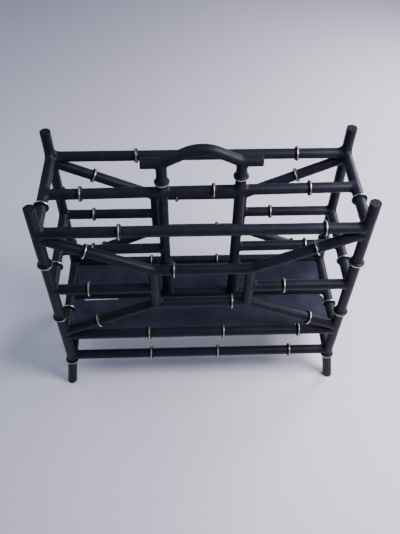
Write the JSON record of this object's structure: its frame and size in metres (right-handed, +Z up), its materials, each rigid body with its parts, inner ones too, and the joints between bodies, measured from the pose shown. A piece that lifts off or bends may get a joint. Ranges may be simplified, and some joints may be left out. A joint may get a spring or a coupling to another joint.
{
  "type": "newspaper rack",
  "caption": "Free-standing faux-bamboo metal rack for newspapers and magazines: latticed tube sides, a divider with an arched carrying handle, two sheet trays and flared feet.",
  "frame": {"origin": "on the floor, midway between the four feet", "axes": "+X along the rack's length, +Y from front to back through its depth, +Z up"},
  "size_m": [0.4844, 0.1926, 0.4633],
  "materials": {
    "frame_lacquer": "satin blue-black lacquer, hand sprayed over steel tube, slightly worn",
    "gold_paint": "pale champagne-gold paint on the crest of each knuckle, uneven and slightly rubbed",
    "tray_lacquer": "smooth blue-black lacquer on sheet steel, semi-gloss",
    "plug_lacquer": "lacquered steel end cap, semi-gloss with a darker centre dimple"
  },
  "bodies": {
    "root": {"carry_handle": "frame_lacquer", "divider_lower_rail": "frame_lacquer", "divider_mid_bar_left": "frame_lacquer", "divider_mid_bar_right": "frame_lacquer", "divider_post_left": "frame_lacquer", "divider_post_right": "frame_lacquer", "divider_top_rail": "frame_lacquer", "end_lower_rail_left": "frame_lacquer", "end_lower_rail_right": "frame_lacquer", "end_mid_rail_left": "frame_lacquer", "end_mid_rail_right": "frame_lacquer", "end_stretcher_left": "frame_lacquer", "end_stretcher_right": "frame_lacquer", "end_top_rail_left": "frame_lacquer", "end_top_rail_right": "frame_lacquer", "foot_front_left": "frame_lacquer", "foot_front_right": "frame_lacquer", "foot_rear_left": "frame_lacquer", "foot_rear_right": "frame_lacquer", "front_lower_brace_left": "frame_lacquer", "front_lower_brace_right": "frame_lacquer", "front_lower_rail": "frame_lacquer", "front_mid_bar_left": "frame_lacquer", "front_mid_bar_right": "frame_lacquer", "front_stretcher": "frame_lacquer", "front_top_rail": "frame_lacquer", "front_tray": "tray_lacquer", "front_upper_brace_left": "frame_lacquer", "front_upper_brace_right": "frame_lacquer", "front_window_bottom_bar": "frame_lacquer", "front_window_side_left": "frame_lacquer", "front_window_side_right": "frame_lacquer", "front_window_top_bar": "frame_lacquer", "handle_post_left": "frame_lacquer", "handle_post_right": "frame_lacquer", "post_front_left": "frame_lacquer", "post_front_right": "frame_lacquer", "post_plug_front_left": "plug_lacquer", "post_plug_front_right": "plug_lacquer", "post_plug_rear_left": "plug_lacquer", "post_plug_rear_right": "plug_lacquer", "post_rear_left": "frame_lacquer", "post_rear_right": "frame_lacquer", "rear_lower_brace_left": "frame_lacquer", "rear_lower_brace_right": "frame_lacquer", "rear_lower_rail": "frame_lacquer", "rear_mid_bar_left": "frame_lacquer", "rear_mid_bar_right": "frame_lacquer", "rear_stretcher": "frame_lacquer", "rear_top_rail": "frame_lacquer", "rear_tray": "tray_lacquer", "rear_upper_brace_left": "frame_lacquer", "rear_upper_brace_right": "frame_lacquer", "rear_window_bottom_bar": "frame_lacquer", "rear_window_side_left": "frame_lacquer", "rear_window_side_right": "frame_lacquer", "rear_window_top_bar": "frame_lacquer"}
  },
  "joints": []
}
